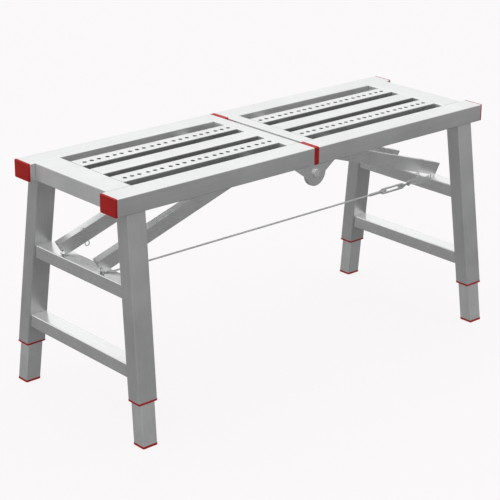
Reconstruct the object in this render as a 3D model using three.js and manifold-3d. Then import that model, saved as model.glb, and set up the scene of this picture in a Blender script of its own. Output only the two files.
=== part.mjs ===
// Folding work platform bench: two hinged deck halves on folding, telescopic leg frames.
// Millimetres, +X along the deck, -Y to the front, +Z up, floor at z = 0.
import * as THREE from "three";
import { mergeVertices } from "three/addons/utils/BufferGeometryUtils.js";
import Module from "manifold-3d";

const wasm = await Module();
wasm.setup();

// Deck
const deckLength = 1400;
const deckWidth = 452;
const deckHeight = 683;
const railWidth = 67.5;
const railDepth = 51;
const tubeWall = 2;
const gap = 0.3;
const endCapThickness = 5.5;
const endCapChamfer = 1.5;
const plugLength = 20;
const centreCapThickness = 8.5;
const endBeamInner = 598;
const endBeamOuter = 677;
const centreBeamInner = 6.5;
const centreBeamOuter = 48;

// Planks, each given by the Y of its front and rear edge
const frontPlank = [-123, -66];
const middlePlank = [-35, 22];
const rearPlank = [55, 110];
const plankDepth = 22;
const plankWall = 1.8;
const holeGroups = 7;
const holesInGroup = 3;
const firstHole = 63;
const groupPitch = 77;
const holePitch = 24;
const holeRadius = 6.5;
const holeForward = 4;
const holeSides = 12;

// Centre hinge
const pivotHeight = 608;
const earRadius = 38;
const earFoot = 81;
const earNeck = 43;
const earLobeStart = -60;
const earLobeEnd = -180;
const earRise = 34;
const earThickness = 4.5;
const earSlotLength = 92;
const earSlotClearance = 4;
const boltRadius = 6;
const boltHeadRadius = 11;
const boltHeadThickness = 5;
const boltNutThickness = 8;

// Leg frames
const legTopX = 630;
const legTopY = 196;
const footX = 652;
const footY = 271;
const legWidth = 61;
const legThickness = 47;
const legBottom = 127;
const collarHeight = 5;
const plasticOverhang = 1;
const footWidth = 47;
const footThickness = 42.5;
const footTop = 380;
const footCapHeight = 6;
const upperRungTop = 434;
const lowerRungTop = 220;
const rungHeight = 39;
const rungWidth = 50;
const shaftX = 591.5;
const shaftHeight = 624;
const shaftRadius = 5;
const lugRadius = 7.5;
const lugLength = 34;
const lugWidth = 12;
const lugSideGap = 4;
const legLugWidth = 20;

// Braces
const braceY = 86;
const bracePivotX = 150;
const bracePivotHeight = 615;
const braceEndX = 655;
const braceEndHeight = 454;
const braceDepth = 40;
const braceWidth = 26;
const braceWall = 2.5;
const braceCut = 13.6;
const bracePinRadius = 4;
const barWidth = 30;
const barBottom = 640;
const hangerWidth = 22;
const hangerThickness = 4;
const pinProud = 3;

// Latch of a brace: a pull rod with a low head above the web and a ring below, and its staple
const latchFromEnd = 79;
const latchForward = 6;
const latchRodRadius = 2.5;
const latchHeadRadius = 6.5;
const latchHeadHeight = 2.5;
const latchRingRadius = 7;
const latchRingWire = 1.5;
const stapleRadius = 7;
const stapleWire = 2;
const stapleRise = 4;
const stapleFromEnd = 8;

// Tie wire
const wireHeight = 385;
const wireRadius = 2.8;
const ferruleLeft = 456;
const ferruleRight = 502;
const ferruleRadius = 4.3;
const buckleLeft = 504;
const buckleRight = 611;
const buckleHalfHeight = 9;
const buckleBar = 4.3;
const buckleEnd = 12;
const buckleThickness = 6;
const buckleBoss = 5.5;
const rodEngaged = 26;
const buckleRod = 2.7;
const hookRadius = 6;
const eyeRadius = 5.5;
const eyeWire = 2;
const eyeX = 634;

const railBottom = deckHeight - railDepth;
const railOuter = deckWidth / 2;
const railInner = railOuter - railWidth;
const halfLength = deckLength / 2;
const slopeX = (footX - legTopX) / railBottom;
const slopeY = (footY - legTopY) / railBottom;
const earsOuter = railOuter - tubeWall;
const earsInner = earsOuter - 2 * earThickness - 3 * gap;
const eyeEdge = eyeX - eyeRadius - eyeWire - gap;
const round = 3;

const paint = {
  aluminium: [0x9b9b9c, 0.42, 0.85],
  deck: [0xe4e5e6, 0.4, 0.6],
  red: [0x962421, 0.5, 0],
  steel: [0x8d8e90, 0.35, 1],
};

// ---- solids ----

function solid(geometry) {
  const plain = geometry.index ? geometry.toNonIndexed() : geometry.clone();
  plain.deleteAttribute("normal");
  plain.deleteAttribute("uv");
  const merged = mergeVertices(plain, 1e-4);
  return new wasm.Manifold(
    new wasm.Mesh({
      numProp: 3,
      vertProperties: merged.attributes.position.array,
      triVerts: new Uint32Array(merged.index.array),
    }),
  );
}

function join(...solids) {
  return solids.reduce((whole, piece) => whole.add(piece));
}

function cut(whole, ...cutters) {
  return cutters.reduce((left, cutter) => left.subtract(cutter), whole);
}

function box(xs, ys, zs) {
  const low = new THREE.Vector3(Math.min(...xs), Math.min(...ys), Math.min(...zs));
  const high = new THREE.Vector3(Math.max(...xs), Math.max(...ys), Math.max(...zs));
  const size = high.clone().sub(low);
  const centre = high.clone().add(low).multiplyScalar(0.5);
  const geometry = new THREE.BoxGeometry(size.x, size.y, size.z);
  return solid(geometry.translate(centre.x, centre.y, centre.z));
}

// A cylinder along Y between two Y values.
function rodY(x, z, radius, ys, segments = 24) {
  const length = Math.abs(ys[1] - ys[0]);
  const geometry = new THREE.CylinderGeometry(radius, radius, length, segments);
  return solid(geometry.translate(x, (ys[0] + ys[1]) / 2, z));
}

// An outline in X and Z, drawn out along Y.
function prismY(points, ys) {
  const shape = new THREE.Shape(points.map(([x, z]) => new THREE.Vector2(x, z)));
  const depth = Math.abs(ys[1] - ys[0]);
  const geometry = new THREE.ExtrudeGeometry(shape, { depth, bevelEnabled: false });
  geometry.rotateX(Math.PI / 2);
  return solid(geometry.translate(0, Math.max(...ys), 0));
}

function roundedRectangle(path, width, height, radius) {
  const x = width / 2 - radius;
  const y = height / 2 - radius;
  const quarter = Math.PI / 2;
  path.moveTo(x + radius, -y);
  path.absarc(x, y, radius, 0, quarter);
  path.absarc(-x, y, radius, quarter, 2 * quarter);
  path.absarc(-x, -y, radius, 2 * quarter, 3 * quarter);
  path.absarc(x, -y, radius, 3 * quarter, 4 * quarter);
  return path;
}

// A rounded rectangular tube along +Z from z = 0, or a solid bar when wall is 0.
function tubeGeometry(width, height, wall, length) {
  const shape = roundedRectangle(new THREE.Shape(), width, height, round);
  if (wall > 0) {
    const hollow = [width - 2 * wall, height - 2 * wall, round - wall / 2];
    shape.holes.push(roundedRectangle(new THREE.Path(), ...hollow));
  }
  return new THREE.ExtrudeGeometry(shape, {
    depth: length,
    bevelEnabled: false,
    curveSegments: 2,
  });
}

const alongX = new THREE.Matrix4().makeBasis(
  new THREE.Vector3(0, 1, 0),
  new THREE.Vector3(0, 0, 1),
  new THREE.Vector3(1, 0, 0),
);

// A rectangular tube along X, from one X to the other, centred on y and z.
function tubeX(xs, y, z, width, height, wall) {
  const low = Math.min(...xs);
  const geometry = tubeGeometry(width, height, wall, Math.max(...xs) - low);
  return solid(geometry.applyMatrix4(alongX).translate(low, y, z));
}

// A rectangular tube along Y, centred on x and z.
function tubeY(x, z, ys, width, height, wall) {
  const high = Math.max(...ys);
  const geometry = tubeGeometry(width, height, wall, high - Math.min(...ys));
  geometry.rotateX(Math.PI / 2);
  return solid(geometry.translate(x, high, z));
}

// A tube that leans as the legs do, with level ends at two heights.
function leaningTube(side, row, zs, width, thickness, wall) {
  const low = Math.min(...zs);
  const geometry = tubeGeometry(width, thickness, wall, Math.max(...zs) - low);
  const lean = new THREE.Matrix4().makeShear(0, 0, 0, 0, -side * slopeX, -row * slopeY);
  geometry.applyMatrix4(lean);
  return solid(geometry.translate(side * legX(low), row * legY(low), low));
}

function legX(z) {
  return legTopX + slopeX * (railBottom - z);
}

function legY(z) {
  return legTopY + slopeY * (railBottom - z);
}

// ---- scene ----

const bench = new THREE.Group();

function place(name, body, [colour, roughness, metalness]) {
  const made = body.getMesh();
  const geometry = new THREE.BufferGeometry();
  const positions = new THREE.BufferAttribute(made.vertProperties, made.numProp);
  geometry.setAttribute("position", positions);
  geometry.setIndex(new THREE.BufferAttribute(made.triVerts, 1));
  const material = new THREE.MeshStandardMaterial({
    color: colour,
    roughness,
    metalness,
    flatShading: true,
  });
  const mesh = new THREE.Mesh(geometry, material);
  mesh.name = name;
  bench.add(mesh);
}

// ---- deck ----

// The slot under a rail that both hinge ears swing in.
function earSlot(side, row) {
  const zs = [railBottom - 1, railBottom + earRise + earSlotClearance];
  return box([0, side * earSlotLength], [row * earsOuter, row * earsInner], zs);
}

function rail(side, row) {
  const inner = side * (centreCapThickness + 2 * gap);
  const outer = side * (halfLength - endCapThickness - gap);
  const y = row * (railOuter - railWidth / 2);
  const z = deckHeight - railDepth / 2;
  const tube = tubeX([inner, outer], y, z, railWidth, railDepth, tubeWall);
  return cut(tube, earSlot(side, row));
}

// The front of an end cap: a slab whose edges are all chamfered.
function chamferedFace(side, y, z) {
  const chamfer = endCapChamfer;
  const outline = roundedRectangle(new THREE.Shape(), railWidth, railDepth, round);
  const geometry = new THREE.ExtrudeGeometry(outline, {
    depth: endCapThickness - 2 * chamfer,
    curveSegments: 2,
    bevelThickness: chamfer,
    bevelSize: chamfer,
    bevelOffset: -chamfer,
    bevelSegments: 1,
  });
  const low = side > 0 ? halfLength - endCapThickness : -halfLength;
  return solid(geometry.applyMatrix4(alongX).translate(low + chamfer, y, z));
}

function endCap(side, row) {
  const y = row * (railOuter - railWidth / 2);
  const z = deckHeight - railDepth / 2;
  const face = side * halfLength;
  const back = side * (halfLength - endCapThickness);
  const plugEnd = side * (halfLength - endCapThickness - plugLength);
  const inset = 2 * (tubeWall + gap);
  const rim = tubeX([back, face - side * endCapChamfer], y, z, railWidth, railDepth, 0);
  const plug = tubeX([plugEnd, back], y, z, railWidth - inset, railDepth - inset, 0);
  return join(rim, plug, chamferedFace(side, y, z));
}

function centreCap(side, row) {
  const y = row * (railOuter - railWidth / 2);
  const z = deckHeight - railDepth / 2;
  const xs = [side * gap, side * (gap + centreCapThickness)];
  return cut(tubeX(xs, y, z, railWidth, railDepth, 0), earSlot(side, row));
}

function centreBeam(side) {
  const x = (side * (centreBeamInner + centreBeamOuter)) / 2;
  const ys = [-(railInner - gap), railInner - gap];
  const width = centreBeamOuter - centreBeamInner;
  return tubeY(x, deckHeight - railDepth / 2, ys, width, railDepth, tubeWall);
}

// The outer beam carries two lugs for the shaft that its leg frame turns on.
function endBeam(side) {
  const x = (side * (endBeamInner + endBeamOuter)) / 2;
  const reach = railInner - gap;
  const width = endBeamOuter - endBeamInner;
  const beam = tubeY(x, deckHeight - railDepth / 2, [-reach, reach], width, railDepth, tubeWall);
  const lugs = [-1, 1].map((row) => {
    const ys = [row * (reach - lugSideGap), row * (reach - lugSideGap - lugWidth)];
    const xs = [side * shaftX, side * (shaftX + lugLength)];
    const block = box(xs, ys, [shaftHeight - lugRadius, railBottom + 1]);
    const nose = rodY(side * shaftX, shaftHeight, lugRadius, ys);
    return join(block, nose);
  });
  const bore = rodY(side * shaftX, shaftHeight, shaftRadius + gap, [-reach, reach]);
  return cut(join(beam, ...lugs), bore);
}

function plank(side, [front, rear]) {
  const xs = [side * (centreBeamOuter + gap), side * (endBeamInner - gap)];
  const z = deckHeight - plankDepth / 2;
  return tubeX(xs, (front + rear) / 2, z, rear - front, plankDepth, plankWall);
}

function perforatedPlank(side, edges) {
  const y = (edges[0] + edges[1]) / 2 - holeForward;
  const holes = [];
  for (let group = 0; group < holeGroups; group += 1) {
    for (let n = 0; n < holesInGroup; n += 1) {
      const x = side * (firstHole + group * groupPitch + n * holePitch);
      const hole = new THREE.CylinderGeometry(holeRadius, holeRadius, plankDepth / 2, holeSides);
      holes.push(solid(hole.rotateX(Math.PI / 2).translate(x, y, deckHeight)));
    }
  }
  return cut(plank(side, edges), ...holes);
}

// One plate of the centre hinge. The left plates run outside the right ones.
function earYs(side, row) {
  const outer = earsOuter - gap - (side > 0 ? earThickness + gap : 0);
  return [row * outer, row * (outer - earThickness)];
}

function hingeEar(side, row) {
  const steps = 20;
  const outline = [
    [earFoot, railBottom + earRise],
    [earFoot, railBottom],
    [earNeck, pivotHeight - 3],
  ];
  for (let i = 0; i <= steps; i += 1) {
    const turn = earLobeStart + ((earLobeEnd - earLobeStart) * i) / steps;
    const angle = THREE.MathUtils.degToRad(turn);
    outline.push([earRadius * Math.cos(angle), pivotHeight + earRadius * Math.sin(angle)]);
  }
  outline.push([-earRadius, railBottom - 2 * gap]);
  outline.push([2 * gap, railBottom - 2 * gap]);
  outline.push([2 * gap + centreCapThickness, railBottom + earRise]);
  const plate = prismY(
    outline.map(([x, z]) => [side * x, z]),
    earYs(side, row),
  );
  return cut(plate, rodY(0, pivotHeight, boltRadius + gap, earYs(side, row)));
}

function pivotBolt(row) {
  const outer = row * earsOuter;
  const inner = row * earsInner;
  const shank = rodY(0, pivotHeight, boltRadius, [outer, inner]);
  const head = rodY(0, pivotHeight, boltHeadRadius, [outer, outer + row * boltHeadThickness]);
  const nut = rodY(0, pivotHeight, boltHeadRadius, [inner, inner - row * boltNutThickness], 6);
  return join(shank, head, nut);
}

// The bar under the planks that both braces of a half hang from.
function braceBar(side) {
  const reach = railInner - gap;
  const x = side * bracePivotX;
  const z = (deckHeight - plankDepth - gap + barBottom) / 2;
  const height = deckHeight - plankDepth - gap - barBottom;
  const pieces = [tubeY(x, z, [-reach, reach], barWidth, height, tubeWall)];
  for (const row of [-1, 1]) {
    const inner = braceWidth / 2 + 2 * gap;
    for (const hand of [-1, 1]) {
      const near = row * braceY + hand * inner;
      const ys = [near, near + hand * hangerThickness];
      const xs = [x - hangerWidth / 2, x + hangerWidth / 2];
      pieces.push(box(xs, ys, [bracePivotHeight, barBottom + 1]));
      pieces.push(rodY(x, bracePivotHeight, hangerWidth / 2, ys));
    }
    const pinReach = inner + hangerThickness + pinProud;
    const ys = [row * braceY - pinReach, row * braceY + pinReach];
    pieces.push(rodY(x, bracePivotHeight, bracePinRadius, ys));
  }
  return join(...pieces);
}

// ---- leg frames ----

function leg(side, row) {
  const top = railBottom - gap;
  const tube = leaningTube(side, row, [legBottom + gap, top], legWidth, legThickness, tubeWall);
  const inner = legTopY - legThickness / 2 + tubeWall / 2;
  const ys = [row * inner, row * (inner + legLugWidth)];
  const face = legTopX - legWidth / 2 + tubeWall / 2;
  const lugLow = shaftHeight - lugRadius;
  const block = box([side * shaftX, side * face], ys, [lugLow, shaftHeight + lugRadius]);
  const nose = rodY(side * shaftX, shaftHeight, lugRadius, ys);
  const bore = rodY(side * shaftX, shaftHeight, shaftRadius + gap, [0, row * railOuter]);
  return cut(join(tube, block, nose), bore);
}

function legShaft(side) {
  const reach = legTopY - legThickness / 2 + legLugWidth;
  return rodY(side * shaftX, shaftHeight, shaftRadius, [-reach, reach]);
}

// A rung whose ends follow the leaning inner faces of the legs.
function rung(side, top) {
  const z = top - rungHeight / 2;
  const reach = (height) => legY(height) - legThickness / 2 - gap;
  const bar = tubeY(side * legX(z), z, [-railOuter, railOuter], rungWidth, rungHeight, 0);
  const hollow = tubeY(
    side * legX(z),
    z,
    [-railOuter, railOuter],
    rungWidth - 2 * tubeWall,
    rungHeight - 2 * tubeWall,
    0,
  );
  const margin = 10;
  const cutters = [-1, 1].map((row) => {
    const low = top - rungHeight - margin;
    const high = top + margin;
    const shape = new THREE.Shape([
      new THREE.Vector2(row * reach(low), low),
      new THREE.Vector2(row * reach(high), high),
      new THREE.Vector2(row * 2 * railOuter, high),
      new THREE.Vector2(row * 2 * railOuter, low),
    ]);
    const depth = 2 * rungWidth;
    const geometry = new THREE.ExtrudeGeometry(shape, { depth, bevelEnabled: false });
    geometry.applyMatrix4(alongX).translate(side * legX(z) - rungWidth, 0, 0);
    return solid(geometry);
  });
  return cut(cut(bar, hollow), ...cutters);
}

// The upper rung has a staple under the end of each brace and an eye for the wire.
function upperRung(side) {
  const staples = [-1, 1].map((row) => {
    const ring = new THREE.TorusGeometry(stapleRadius, stapleWire, 8, 18);
    ring.rotateX(Math.PI / 2);
    const x = side * (braceEndX - stapleFromEnd);
    return solid(ring.translate(x, row * braceY, upperRungTop + stapleRise));
  });
  const z = upperRungTop - rungHeight / 2;
  const reach = braceY + 2 * stapleRadius;
  const inside = [rungWidth - 2 * tubeWall, rungHeight - 2 * tubeWall];
  const clearing = tubeY(side * legX(z), z, [-reach, reach], ...inside, 0);
  const welded = [...staples, tieEye(side)].map((piece) => cut(piece, clearing));
  return join(rung(side, upperRungTop), ...welded);
}

function collar(side, row) {
  const zs = [legBottom - collarHeight, legBottom];
  const size = [legWidth + plasticOverhang, legThickness + plasticOverhang];
  const ring = leaningTube(side, row, zs, ...size, 0);
  const bore = leaningTube(
    side,
    row,
    [zs[0] - 1, zs[1] + 1],
    footWidth + 2 * gap,
    footThickness + 2 * gap,
    0,
  );
  return cut(ring, bore);
}

function foot(side, row) {
  return leaningTube(side, row, [footCapHeight + gap, footTop], footWidth, footThickness, tubeWall);
}

function footCap(side, row) {
  const inset = 2 * (tubeWall + gap);
  const plugTop = footCapHeight + plugLength;
  const shoeSize = [footWidth + plasticOverhang, footThickness + plasticOverhang];
  const shoe = leaningTube(side, row, [0, footCapHeight], ...shoeSize, 0);
  const plugSize = [footWidth - inset, footThickness - inset];
  return join(shoe, leaningTube(side, row, [1, plugTop], ...plugSize, 0));
}

// ---- braces ----

const braceRun = braceEndX - bracePivotX;
const braceDrop = bracePivotHeight - braceEndHeight;
const braceSlope = Math.atan2(braceDrop, braceRun);
const braceLength = Math.hypot(braceRun, braceDrop);

// A point given along and across the brace, as X and Z.
function onBrace(side, along, across) {
  const x = bracePivotX + along * Math.cos(braceSlope) + across * Math.sin(braceSlope);
  const z = bracePivotHeight - along * Math.sin(braceSlope) + across * Math.cos(braceSlope);
  return [side * x, z];
}

function brace(side, row) {
  const half = braceDepth / 2;
  const lean = half * Math.tan(THREE.MathUtils.degToRad(braceCut));
  const outline = [];
  const steps = 12;
  for (let i = 0; i <= steps; i += 1) {
    const angle = Math.PI / 2 + (Math.PI * i) / steps;
    outline.push(onBrace(side, half * Math.cos(angle), half * Math.sin(angle)));
  }
  outline.push(onBrace(side, braceLength - lean, -half));
  outline.push(onBrace(side, braceLength + lean, half));
  const outer = braceWidth / 2;
  const inner = outer - braceWall;
  const y = row * braceY;
  const block = prismY(outline, [y - outer, y + outer]);
  const mouth = [
    onBrace(side, -braceDepth, -braceDepth),
    onBrace(side, braceLength + braceDepth, -braceDepth),
    onBrace(side, braceLength + braceDepth, half - braceWall),
    onBrace(side, -braceDepth, half - braceWall),
  ];
  const channel = cut(
    block,
    prismY(mouth, [y - inner, y + inner]),
    rodY(side * bracePivotX, bracePivotHeight, bracePinRadius + gap, [y - outer, y + outer]),
  );
  return join(channel, latchRod(side, y));
}

// The pull rod of the latch, through the web of the brace near its lower end.
function latchRod(side, y) {
  const top = braceDepth / 2 + latchHeadHeight;
  const bottom = -braceDepth / 2 - latchRodRadius;
  const rod = new THREE.CylinderGeometry(latchRodRadius, latchRodRadius, top - bottom, 12);
  rod.translate(0, (top + bottom) / 2, 0);
  const head = new THREE.CylinderGeometry(latchHeadRadius, latchHeadRadius, latchHeadHeight, 20);
  head.translate(0, top - latchHeadHeight / 2, 0);
  const ring = new THREE.TorusGeometry(latchRingRadius, latchRingWire, 8, 18);
  ring.translate(0, bottom - latchRingRadius, 0);
  const [x, z] = onBrace(side, braceLength - latchFromEnd, 0);
  return join(
    ...[rod, head, ring].map((piece) => {
      piece.rotateX(Math.PI / 2).rotateY(side * braceSlope);
      return solid(piece.translate(x, y - latchForward, z));
    }),
  );
}

// ---- tie wire ----

function tieWire() {
  const ends = [
    new THREE.Vector3(-eyeEdge, 0, wireHeight),
    new THREE.Vector3(ferruleLeft - gap, 0, wireHeight),
  ];
  const section = new THREE.Shape().absarc(0, 0, wireRadius, 0, 2 * Math.PI);
  return solid(
    new THREE.ExtrudeGeometry(section, {
      extrudePath: new THREE.LineCurve3(...ends),
      steps: 1,
      curveSegments: 10,
      bevelEnabled: false,
    }),
  );
}

// A round piece about the line of the wire, from a profile of radius and X.
function turnedAboutWire(profile) {
  const points = profile.map(([radius, x]) => new THREE.Vector2(radius, -x));
  const geometry = new THREE.LatheGeometry(points.reverse(), 16);
  geometry.rotateZ(Math.PI / 2);
  return solid(geometry.translate(0, 0, wireHeight));
}

function roundBar(radius, low, high) {
  return turnedAboutWire([
    [0, low],
    [radius, low],
    [radius, high],
    [0, high],
  ]);
}

// The left rod starts as the ferrule that is pressed onto the wire.
function turnbuckleRod() {
  const ferrule = turnedAboutWire([
    [0, ferruleLeft],
    [ferruleRadius, ferruleLeft],
    [ferruleRadius, ferruleRight - ferruleRadius / 2],
    [buckleRod, ferruleRight],
    [0, ferruleRight],
  ]);
  return join(ferrule, roundBar(buckleRod, ferruleRight - 1, buckleLeft + rodEngaged));
}

// The open frame that turns to tighten the wire: two bars between two bored ends.
function turnbuckleFrame() {
  const half = buckleHalfHeight;
  const outline = [
    [buckleLeft, -half / 2],
    [buckleLeft + half, -half],
    [buckleRight - half, -half],
    [buckleRight, -half / 2],
    [buckleRight, half / 2],
    [buckleRight - half, half],
    [buckleLeft + half, half],
    [buckleLeft, half / 2],
  ];
  const plate = prismY(
    outline.map(([x, z]) => [x, wireHeight + z]),
    [-buckleThickness / 2, buckleThickness / 2],
  );
  const window = half - buckleBar;
  const opening = box(
    [buckleLeft + buckleEnd, buckleRight - buckleEnd],
    [-buckleThickness, buckleThickness],
    [wireHeight - window, wireHeight + window],
  );
  const bosses = [
    roundBar(buckleBoss, buckleLeft, buckleLeft + buckleEnd),
    roundBar(buckleBoss, buckleRight - buckleEnd, buckleRight),
  ];
  const bore = roundBar(buckleRod + gap, buckleLeft - 1, buckleRight + 1);
  return cut(join(cut(plate, opening), ...bosses), bore);
}

// The right rod ends in an open hook that sits in the eye of the right upper rung.
function turnbuckleHook() {
  const centre = eyeX - hookRadius;
  const ring = new THREE.TorusGeometry(hookRadius, eyeWire, 8, 20);
  ring.translate(centre, 0, wireHeight);
  const outside = hookRadius + 2 * eyeWire;
  const zs = [wireHeight - outside, wireHeight + outside];
  const mouth = box([centre - outside, centre], [buckleRod, outside], zs);
  const stem = roundBar(buckleRod, buckleRight - rodEngaged, centre - hookRadius);
  return join(cut(solid(ring), mouth), stem);
}

// The eye screwed under an upper rung for the wire or its hook.
function tieEye(side) {
  const ring = new THREE.TorusGeometry(eyeRadius, eyeWire, 8, 20);
  ring.rotateX(Math.PI / 2).translate(side * eyeX, 0, wireHeight);
  const top = upperRungTop - rungHeight + tubeWall / 2;
  const base = wireHeight + eyeRadius;
  const shank = new THREE.CylinderGeometry(eyeWire, eyeWire, top - base, 10);
  shank.rotateX(Math.PI / 2).translate(side * eyeX, 0, (top + base) / 2);
  return join(solid(ring), solid(shank));
}

// ---- assembly ----

const sides = { left: -1, right: 1 };
const rows = { front: -1, rear: 1 };

for (const [hand, side] of Object.entries(sides)) {
  place(`${hand}_end_beam`, endBeam(side), paint.deck);
  place(`${hand}_centre_beam`, centreBeam(side), paint.deck);
  place(`${hand}_front_plank`, perforatedPlank(side, frontPlank), paint.deck);
  place(`${hand}_middle_plank`, plank(side, middlePlank), paint.deck);
  place(`${hand}_rear_plank`, perforatedPlank(side, rearPlank), paint.deck);
  place(`${hand}_brace_bar`, braceBar(side), paint.steel);
  place(`${hand}_leg_shaft`, legShaft(side), paint.steel);
  place(`${hand}_upper_rung`, upperRung(side), paint.aluminium);
  place(`${hand}_lower_rung`, rung(side, lowerRungTop), paint.aluminium);
  for (const [end, row] of Object.entries(rows)) {
    place(`${hand}_${end}_rail`, rail(side, row), paint.deck);
    place(`${hand}_${end}_end_cap`, endCap(side, row), paint.red);
    place(`${hand}_${end}_centre_cap`, centreCap(side, row), paint.red);
    place(`${hand}_${end}_hinge_ear`, hingeEar(side, row), paint.aluminium);
    place(`${hand}_${end}_brace`, brace(side, row), paint.aluminium);
    place(`${hand}_${end}_leg`, leg(side, row), paint.aluminium);
    place(`${hand}_${end}_collar`, collar(side, row), paint.red);
    place(`${hand}_${end}_foot`, foot(side, row), paint.aluminium);
    place(`${hand}_${end}_foot_cap`, footCap(side, row), paint.red);
  }
}
for (const [end, row] of Object.entries(rows)) {
  place(`${end}_pivot_bolt`, pivotBolt(row), paint.steel);
}
place("tie_wire", tieWire(), paint.steel);
place("turnbuckle_rod", turnbuckleRod(), paint.steel);
place("turnbuckle_frame", turnbuckleFrame(), paint.steel);
place("turnbuckle_hook", turnbuckleHook(), paint.steel);

export default bench;
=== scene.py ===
"""Folding work platform bench: tie wire, materials, floor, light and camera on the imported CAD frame."""

import math

import bpy
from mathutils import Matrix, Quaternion, Vector


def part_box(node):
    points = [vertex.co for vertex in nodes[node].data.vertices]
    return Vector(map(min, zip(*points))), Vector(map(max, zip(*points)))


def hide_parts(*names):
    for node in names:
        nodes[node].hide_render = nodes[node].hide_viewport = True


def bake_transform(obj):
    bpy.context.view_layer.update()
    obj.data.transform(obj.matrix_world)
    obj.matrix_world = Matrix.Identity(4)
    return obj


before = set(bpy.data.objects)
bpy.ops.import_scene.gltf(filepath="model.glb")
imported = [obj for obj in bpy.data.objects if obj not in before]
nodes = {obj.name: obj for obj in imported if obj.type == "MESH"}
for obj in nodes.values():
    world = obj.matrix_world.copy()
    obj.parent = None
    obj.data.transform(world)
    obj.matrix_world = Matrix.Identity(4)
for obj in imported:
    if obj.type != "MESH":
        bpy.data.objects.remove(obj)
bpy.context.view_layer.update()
scene = bpy.context.scene

MM = 0.001


# ---- camera ----

def make_camera():
    azimuth = math.radians(-41.89)
    elevation = math.radians(20.61)
    roll = math.radians(0.53)
    distance = 4.721
    target = Vector((-0.0126, 0.0347, 0.3067))
    back = Vector(
        (
            math.sin(azimuth) * math.cos(elevation),
            -math.cos(azimuth) * math.cos(elevation),
            math.sin(elevation),
        )
    )
    data = bpy.data.cameras.new("camera")
    data.sensor_width = 36
    data.lens = 114.47
    data.clip_start = 0.1
    data.clip_end = 100
    camera = bpy.data.objects.new("camera", data)
    scene.collection.objects.link(camera)
    camera.location = target + back * distance
    camera.rotation_mode = "QUATERNION"
    camera.rotation_quaternion = Quaternion(back, roll) @ (-back).to_track_quat("-Z", "Y")
    scene.camera = camera


# ---- tie wire ----

# The wire's line runs level along X at y = 0. It is made in three straight lengths,
# cut at the two joints that it passes.
WIRE_HEIGHT = 385 * MM
WIRE_RADIUS = 2.8 * MM
WIRE_LEFT = -626.2 * MM
WIRE_RIGHT = 455.7 * MM
LEFT_CUT = -150 * MM
RIGHT_CUT = 150 * MM
STRANDS = 6
STRAND_ARC = 160
STRAND_ARC_POINTS = 5
LAY_LENGTH = 45 * MM
STEPS_PER_LAY = 20


def on_wire(x):
    return Vector((x, 0, WIRE_HEIGHT))


def rope_section():
    """Distance from the centre and angle of each point round a rope of outer strands."""
    strand = WIRE_RADIUS / (1 + 1 / math.sin(math.pi / STRANDS))
    lay_circle = WIRE_RADIUS - strand
    section = []
    for i in range(STRANDS):
        for k in range(STRAND_ARC_POINTS):
            turn = math.radians(-STRAND_ARC / 2 + STRAND_ARC * k / (STRAND_ARC_POINTS - 1))
            along = lay_circle + strand * math.cos(turn)
            across = strand * math.sin(turn)
            angle = math.atan2(across, along) + 2 * math.pi * i / STRANDS
            section.append((math.hypot(along, across), angle))
    return section


def wire_length(name, low, high):
    """One length of the stranded wire, from one X to another, as a closed mesh."""
    section = rope_section()
    count = len(section)
    steps = max(2, round((high - low) / LAY_LENGTH * STEPS_PER_LAY))
    centres = [on_wire(low + (high - low) * i / steps) for i in range(steps + 1)]
    points = []
    for centre in centres:
        twist = 2 * math.pi * (centre.x - WIRE_LEFT) / LAY_LENGTH
        for distance, angle in section:
            y = distance * math.cos(angle + twist)
            z = distance * math.sin(angle + twist)
            points.append(centre + Vector((0, y, z)))
    faces = [tuple(reversed(range(count)))]
    for i in range(steps):
        for k in range(count):
            a = i * count + k
            b = i * count + (k + 1) % count
            faces.append((a, b, b + count, a + count))
    faces.append(tuple(range(steps * count, (steps + 1) * count)))
    mesh = bpy.data.meshes.new(name)
    mesh.from_pydata(points, [], faces)
    mesh.shade_smooth()
    piece = bpy.data.objects.new(name, mesh)
    scene.collection.objects.link(piece)
    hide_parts("tie_wire")
    return piece


def make_tie_wire():
    left = wire_length("tie_wire_left", WIRE_LEFT, LEFT_CUT)
    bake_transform(left)
    middle = wire_length("tie_wire_middle", LEFT_CUT, RIGHT_CUT)
    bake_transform(middle)
    right = wire_length("tie_wire_right", RIGHT_CUT, WIRE_RIGHT)
    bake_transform(right)
    return [left, middle, right]


make_camera()
wire_lengths = make_tie_wire()


# ---- node helpers ----

# A wave texture of scale 1 repeats after this many metres.
WAVE_REPEAT = 0.314


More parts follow.
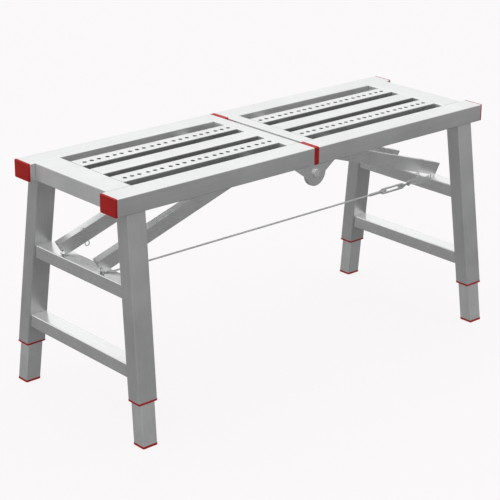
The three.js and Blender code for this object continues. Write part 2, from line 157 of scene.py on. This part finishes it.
class Shader:
    """A node material with one Principled shader, built up by small steps."""

    def __init__(self, name):
        self.material = bpy.data.materials.new(name)
        self.material.use_nodes = True
        self.tree = self.material.node_tree
        self.bsdf = self.tree.nodes["Principled BSDF"]

    def set(self, socket, value):
        self.bsdf.inputs[socket].default_value = value

    def feed(self, out, socket):
        self.link(out, self.bsdf.inputs[socket])

    def add(self, kind, **values):
        node = self.tree.nodes.new(kind)
        for key, value in values.items():
            if hasattr(node, key):
                setattr(node, key, value)
            else:
                node.inputs[key].default_value = value
        return node

    def link(self, out, into):
        self.tree.links.new(out, into)

    def stretched(self, scale, turn=(0, 0, 0)):
        """Object coordinates turned, then scaled along each axis, in features per metre."""
        place = self.add("ShaderNodeTexCoord")
        turned = self.add("ShaderNodeMapping", vector_type="POINT", Rotation=turn)
        mapping = self.add("ShaderNodeMapping", Scale=scale)
        self.link(place.outputs["Object"], turned.inputs["Vector"])
        self.link(turned.outputs["Vector"], mapping.inputs["Vector"])
        return mapping.outputs["Vector"]

    def noise(self, vector, detail=2.0, roughness=0.5):
        node = self.add("ShaderNodeTexNoise", Scale=1.0, Detail=detail, Roughness=roughness)
        self.link(vector, node.inputs["Vector"])
        return node.outputs["Fac"]

    def waves(self, along, period):
        """Even ridges that follow one another along an axis, as a height from 0 to 1."""
        wave = self.add("ShaderNodeTexWave", bands_direction="XYZ"[along], Scale=WAVE_REPEAT / period)
        place = self.add("ShaderNodeTexCoord")
        self.link(place.outputs["Object"], wave.inputs["Vector"])
        return wave.outputs["Fac"]

    def ramp(self, value, low, high, to_low=0.0, to_high=1.0):
        node = self.add("ShaderNodeMapRange")
        self.link(value, node.inputs["Value"])
        limits = {"From Min": low, "From Max": high, "To Min": to_low, "To Max": to_high}
        for key, number in limits.items():
            node.inputs[key].default_value = number
        return node.outputs["Result"]

    def math(self, operation, a, b):
        node = self.add("ShaderNodeMath", operation=operation)
        for value, socket in ((a, node.inputs[0]), (b, node.inputs[1])):
            if isinstance(value, (int, float)):
                socket.default_value = value
            else:
                self.link(value, socket)
        return node.outputs["Value"]

    def mix(self, factor, a, b):
        node = self.add("ShaderNodeMix", data_type="RGBA")
        self.link(factor, node.inputs["Factor"])
        for value, socket in ((a, node.inputs["A"]), (b, node.inputs["B"])):
            if isinstance(value, tuple):
                socket.default_value = (*value, 1)
            else:
                self.link(value, socket)
        return node.outputs["Result"]

    def edges(self, radius):
        """1 along the piece's sharp edges, 0 on its flat faces."""
        rounded = self.add("ShaderNodeBevel", samples=4, Radius=radius)
        surface = self.add("ShaderNodeNewGeometry")
        dot = self.add("ShaderNodeVectorMath", operation="DOT_PRODUCT")
        self.link(rounded.outputs["Normal"], dot.inputs[0])
        self.link(surface.outputs["Normal"], dot.inputs[1])
        return self.ramp(dot.outputs["Value"], 0.995, 0.93)

    def facing_up(self):
        """1 on faces that point up, 0 on the others."""
        surface = self.add("ShaderNodeNewGeometry")
        split = self.add("ShaderNodeSeparateXYZ")
        self.link(surface.outputs["Normal"], split.inputs["Vector"])
        return self.ramp(split.outputs["Z"], 0.9, 0.97)

    def above(self, height):
        """1 above a height, 0 below it, with a short fade between."""
        place = self.add("ShaderNodeTexCoord")
        split = self.add("ShaderNodeSeparateXYZ")
        self.link(place.outputs["Object"], split.inputs["Vector"])
        return self.ramp(split.outputs["Z"], height - 0.3 * MM, height + 0.3 * MM)

    def bump(self, *heights):
        """Bumps, each a height from 0 to 1 and its depth in metres, laid one on another."""
        before = None
        for height, depth in heights:
            node = self.add("ShaderNodeBump", Strength=1.0, Distance=depth)
            self.link(height, node.inputs["Height"])
            if before:
                self.link(before.outputs["Normal"], node.inputs["Normal"])
            before = node
        self.link(before.outputs["Normal"], self.bsdf.inputs["Normal"])


# ---- materials ----

X, Y, Z = 0, 1, 2
DECK_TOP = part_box("left_middle_plank")[1].z
# Faces within this depth of the deck's top keep the lit top colour; faces lower down take the painted
# shade or painted light of the deck's pieces.
LIT_TOP_DEPTH = 1 * MM
RIB_PITCH = 4.5 * MM
RIB_DEPTH = 0.12 * MM
THREAD_PITCH = 1.25 * MM
THREAD_DEPTH = 0.5 * MM
METAL_EDGE_WEAR = 1.6 * MM
PLASTIC_EDGE_WEAR = 1.2 * MM


def scaled(colour, factor):
    return tuple(min(1.0, v * factor) for v in colour)


def scratches(s):
    """Sparse fine scratches in two directions, 1 on a scratch and 0 off it."""
    one = s.noise(s.stretched((2400, 110, 110), (0.5, 0.3, 0.6)), detail=1.0)
    two = s.noise(s.stretched((110, 2100, 110), (0.2, 0.7, 1.1)), detail=1.0)
    where = s.noise(s.stretched((14, 14, 14)), detail=2.0)
    lines = s.math("MAXIMUM", s.ramp(one, 0.72, 0.78), s.ramp(two, 0.72, 0.78))
    return s.math("MULTIPLY", lines, s.ramp(where, 0.5, 0.62))


def aluminium(name, along, dark, light, rough, side_shading=None):
    """Extruded aluminium: die lines along its length, clouded oxide, scratches and rubbed edges.

    The last argument is for the deck's pieces: it gives their tops ribs, and the faces below the deck's
    top take the colour times it, as painted shade where it is below 1 and painted light where it is above
    1, set apart from the lit top.
    """
    s = Shader(name)
    fine = [1100.0] * 3
    fine[along] = 2.5
    broad = [170.0] * 3
    broad[along] = 0.8
    lines = s.noise(s.stretched(tuple(fine)), detail=3.0)
    bands = s.noise(s.stretched(tuple(broad)), detail=2.0)
    cloud = s.noise(s.stretched((11.0, 11.0, 11.0)), detail=5.0, roughness=0.62)
    marks = scratches(s)
    edges = s.edges(METAL_EDGE_WEAR)
    clouded = s.math("MULTIPLY", s.ramp(cloud, 0.3, 0.7), 0.6)
    tone = s.math("ADD", clouded, s.math("MULTIPLY", s.ramp(bands, 0.3, 0.7), 0.4))
    colour = s.mix(tone, dark, light)
    # Painted shade, or painted light on the cross beams: faces below the deck's top, slot and hole walls
    # included, take a darker or lighter copy of the colour for how the light falls on them.
    if side_shading:
        side_shaded_colour = s.mix(tone, scaled(dark, side_shading), scaled(light, side_shading))
        colour = s.mix(s.above(DECK_TOP - LIT_TOP_DEPTH), side_shaded_colour, colour)
    worn = s.math("MAXIMUM", s.math("MULTIPLY", edges, 0.7), s.math("MULTIPLY", marks, 0.3))
    s.feed(s.mix(worn, colour, scaled(light, 1.08)), "Base Color")
    drawn = s.ramp(lines, 0.25, 0.75, rough - 0.05, rough + 0.05)
    hazed = s.math("ADD", drawn, s.ramp(cloud, 0.35, 0.7, -0.03, 0.06))
    s.feed(s.math("SUBTRACT", hazed, s.math("MULTIPLY", edges, 0.1)), "Roughness")
    s.set("Metallic", 0.85)
    heights = [(lines, 0.02 * MM), (marks, 0.03 * MM)]
    if side_shading:
        across = Y if along == X else X
        ribs = s.math("MULTIPLY", s.waves(across, RIB_PITCH), s.facing_up())
        heights.append((ribs, RIB_DEPTH))
    s.bump(*heights)
    return s.material


def red_plastic():
    """Moulded plastic with a fine spark-eroded grain, paler where it is rubbed."""
    s = Shader("red_plastic")
    grain = s.noise(s.stretched((1600.0,) * 3), detail=2.0)
    cloud = s.noise(s.stretched((30.0,) * 3), detail=4.0)
    body = s.mix(s.ramp(cloud, 0.3, 0.7), (0.42, 0.011, 0.010), (0.50, 0.017, 0.014))
    rubbed = s.math("MULTIPLY", s.edges(PLASTIC_EDGE_WEAR), 0.35)
    s.feed(s.mix(rubbed, body, (0.60, 0.05, 0.045)), "Base Color")
    sheen = s.ramp(grain, 0.3, 0.7, 0.42, 0.5)
    s.feed(s.math("ADD", sheen, s.ramp(cloud, 0.3, 0.7, 0.0, 0.08)), "Roughness")
    s.set("Specular IOR Level", 0.25)
    s.bump((grain, 0.05 * MM))
    return s.material


def steel(name, threaded=False):
    """Zinc plated steel with a faint spangle, darker in patches, and a thread if wanted."""
    s = Shader(name)
    spangle = s.noise(s.stretched((420.0,) * 3), detail=4.0)
    patches = s.noise(s.stretched((60.0,) * 3), detail=3.0)
    body = s.mix(s.ramp(spangle, 0.3, 0.7), (0.76, 0.765, 0.77), (0.88, 0.885, 0.89))
    s.feed(s.mix(s.ramp(patches, 0.5, 0.75, 0.0, 0.5), body, (0.70, 0.695, 0.69)), "Base Color")
    s.feed(s.ramp(patches, 0.3, 0.7, 0.26, 0.44), "Roughness")
    s.set("Metallic", 0.5)
    heights = [(spangle, 0.02 * MM)]
    if threaded:
        heights.append((s.waves(X, THREAD_PITCH), THREAD_DEPTH))
    s.bump(*heights)
    return s.material


PALE, PALER = (0.78, 0.785, 0.79), (0.86, 0.865, 0.868)
GREY, GREYER = (0.66, 0.663, 0.667), (0.74, 0.743, 0.746)

finishes = {
    # The last number on rail, plank and cross is painted light and shade below the deck's top: painted
    # shade on rail and plank faces, darkest in the plank slots and holes, and painted light on the cross
    # beams' faces.
    "rail": aluminium("rail_aluminium", X, PALE, PALER, 0.4, side_shading=0.92),
    "plank": aluminium("plank_aluminium", X, PALE, PALER, 0.4, side_shading=0.42),
    "cross": aluminium("cross_aluminium", Y, PALE, PALER, 0.4, side_shading=1.13),
    "upright": aluminium("upright_aluminium", Z, GREY, GREYER, 0.36),
    "foot": aluminium("foot_aluminium", Z, scaled(GREY, 1.26), scaled(GREYER, 1.26), 0.36),
    "rung": aluminium("rung_aluminium", Y, scaled(GREY, 1.26), scaled(GREYER, 1.26), 0.22),
    "brace": aluminium("brace_aluminium", X, scaled(GREY, 1.32), scaled(GREYER, 1.32), 0.3),
    "red": red_plastic(),
    "steel": steel("zinc_steel"),
    "thread": steel("threaded_steel", threaded=True),
}


def finish_of(name):
    """Which finish a CAD node has, from how its name ends."""
    for ending, finish in (
        ("_end_beam", "cross"),
        ("_centre_beam", "cross"),
        ("_plank", "plank"),
        ("_rail", "rail"),
        ("_cap", "red"),
        ("_collar", "red"),
        ("_leg", "upright"),
        ("_foot", "foot"),
        ("_rung", "rung"),
        ("_brace", "brace"),
        ("_hinge_ear", "brace"),
        ("turnbuckle_rod", "thread"),
        ("turnbuckle_hook", "thread"),
    ):
        if name.endswith(ending):
            return finish
    return "steel"


WELD_DISTANCE = 0.005 * MM
EDGE_ROUNDING = 0.6 * MM
SHARP_ANGLE = math.radians(50)


def dress(name, node):
    """Gives a CAD node its finish, small rounded edges and smooth round faces."""
    node.data.materials.clear()
    node.data.materials.append(finishes[finish_of(name)])
    normals = node.data.attributes.get("custom_normal")
    if normals:
        node.data.attributes.remove(normals)
    node.data.shade_smooth()
    weld = node.modifiers.new("weld", "WELD")
    weld.merge_threshold = WELD_DISTANCE
    edge = node.modifiers.new("edge", "BEVEL")
    edge.width = EDGE_ROUNDING
    edge.segments = 2
    edge.limit_method = "ANGLE"
    edge.angle_limit = SHARP_ANGLE
    level = node.modifiers.new("level", "WEIGHTED_NORMAL")
    level.mode = "FACE_AREA"
    level.weight = 50
    level.keep_sharp = False


for name, node in nodes.items():
    dress(name, node)
for piece in wire_lengths:
    piece.data.materials.append(finishes["steel"])


# ---- floor and light ----

FLOOR_HALF = 30
FLOOR_GLOW = 0.86


def make_floor():
    """A white floor that glows, so that shadows on it are faint. It lights nothing else."""
    mesh = bpy.data.meshes.new("floor")
    near, far = -FLOOR_HALF, FLOOR_HALF
    corners = [(near, near, 0), (far, near, 0), (far, far, 0), (near, far, 0)]
    mesh.from_pydata(corners, [], [(0, 1, 2, 3)])
    floor = bpy.data.objects.new("floor", mesh)
    scene.collection.objects.link(floor)
    s = Shader("floor")
    cloud = s.noise(s.stretched((0.6, 0.6, 0.6)), detail=2.0)
    s.feed(s.mix(cloud, (0.10, 0.098, 0.099), (0.11, 0.108, 0.109)), "Base Color")
    s.set("Roughness", 0.9)
    s.set("Specular IOR Level", 0.0)
    s.set("Emission Color", (1.0, 0.982, 0.991, 1))
    s.set("Emission Strength", FLOOR_GLOW)
    mesh.materials.append(s.material)
    floor.visible_diffuse = False
    floor.visible_glossy = False


def make_world():
    """A studio that is white above, dark below the horizon and a little dimmer in front."""
    world = bpy.data.worlds.new("studio")
    scene.world = world
    world.use_nodes = True
    tree = world.node_tree
    back = tree.nodes["Background"]
    place = tree.nodes.new("ShaderNodeTexCoord")
    split = tree.nodes.new("ShaderNodeSeparateXYZ")
    ramp = tree.nodes.new("ShaderNodeValToRGB")
    height = tree.nodes.new("ShaderNodeMapRange")
    height.inputs["From Min"].default_value = -1
    height.inputs["From Max"].default_value = 1
    tree.links.new(place.outputs["Generated"], split.inputs["Vector"])
    tree.links.new(split.outputs["Z"], height.inputs["Value"])
    tree.links.new(height.outputs["Result"], ramp.inputs["Fac"])
    low, high = ramp.color_ramp.elements
    low.position = 0.38
    low.color = (0.215, 0.215, 0.216, 1)
    high.position = 0.64
    high.color = (1, 1, 1, 1)
    front = tree.nodes.new("ShaderNodeMapRange")
    front.inputs["From Min"].default_value = -0.8
    front.inputs["From Max"].default_value = 0.4
    front.inputs["To Min"].default_value = 0.82
    front.inputs["To Max"].default_value = 1.05
    tree.links.new(split.outputs["Y"], front.inputs["Value"])
    tree.links.new(ramp.outputs["Color"], back.inputs["Color"])
    tree.links.new(front.outputs["Result"], back.inputs["Strength"])


def area_light(name, place, aim, size, power):
    """A rectangular light at a place, turned towards its aim, in metres and watts."""
    data = bpy.data.lights.new(name, "AREA")
    data.shape = "RECTANGLE"
    data.size, data.size_y = size
    data.energy = power
    light = bpy.data.objects.new(name, data)
    scene.collection.objects.link(light)
    light.location = place
    light.rotation_mode = "QUATERNION"
    light.rotation_quaternion = (Vector(aim) - Vector(place)).to_track_quat("-Z", "Y")


make_floor()
make_world()
area_light("overhead", (0.4, 0.6, 3.4), (0, 0, 0.5), (3.0, 3.0), 10)
scene.view_settings.view_transform = "Standard"
scene.view_settings.look = "None"
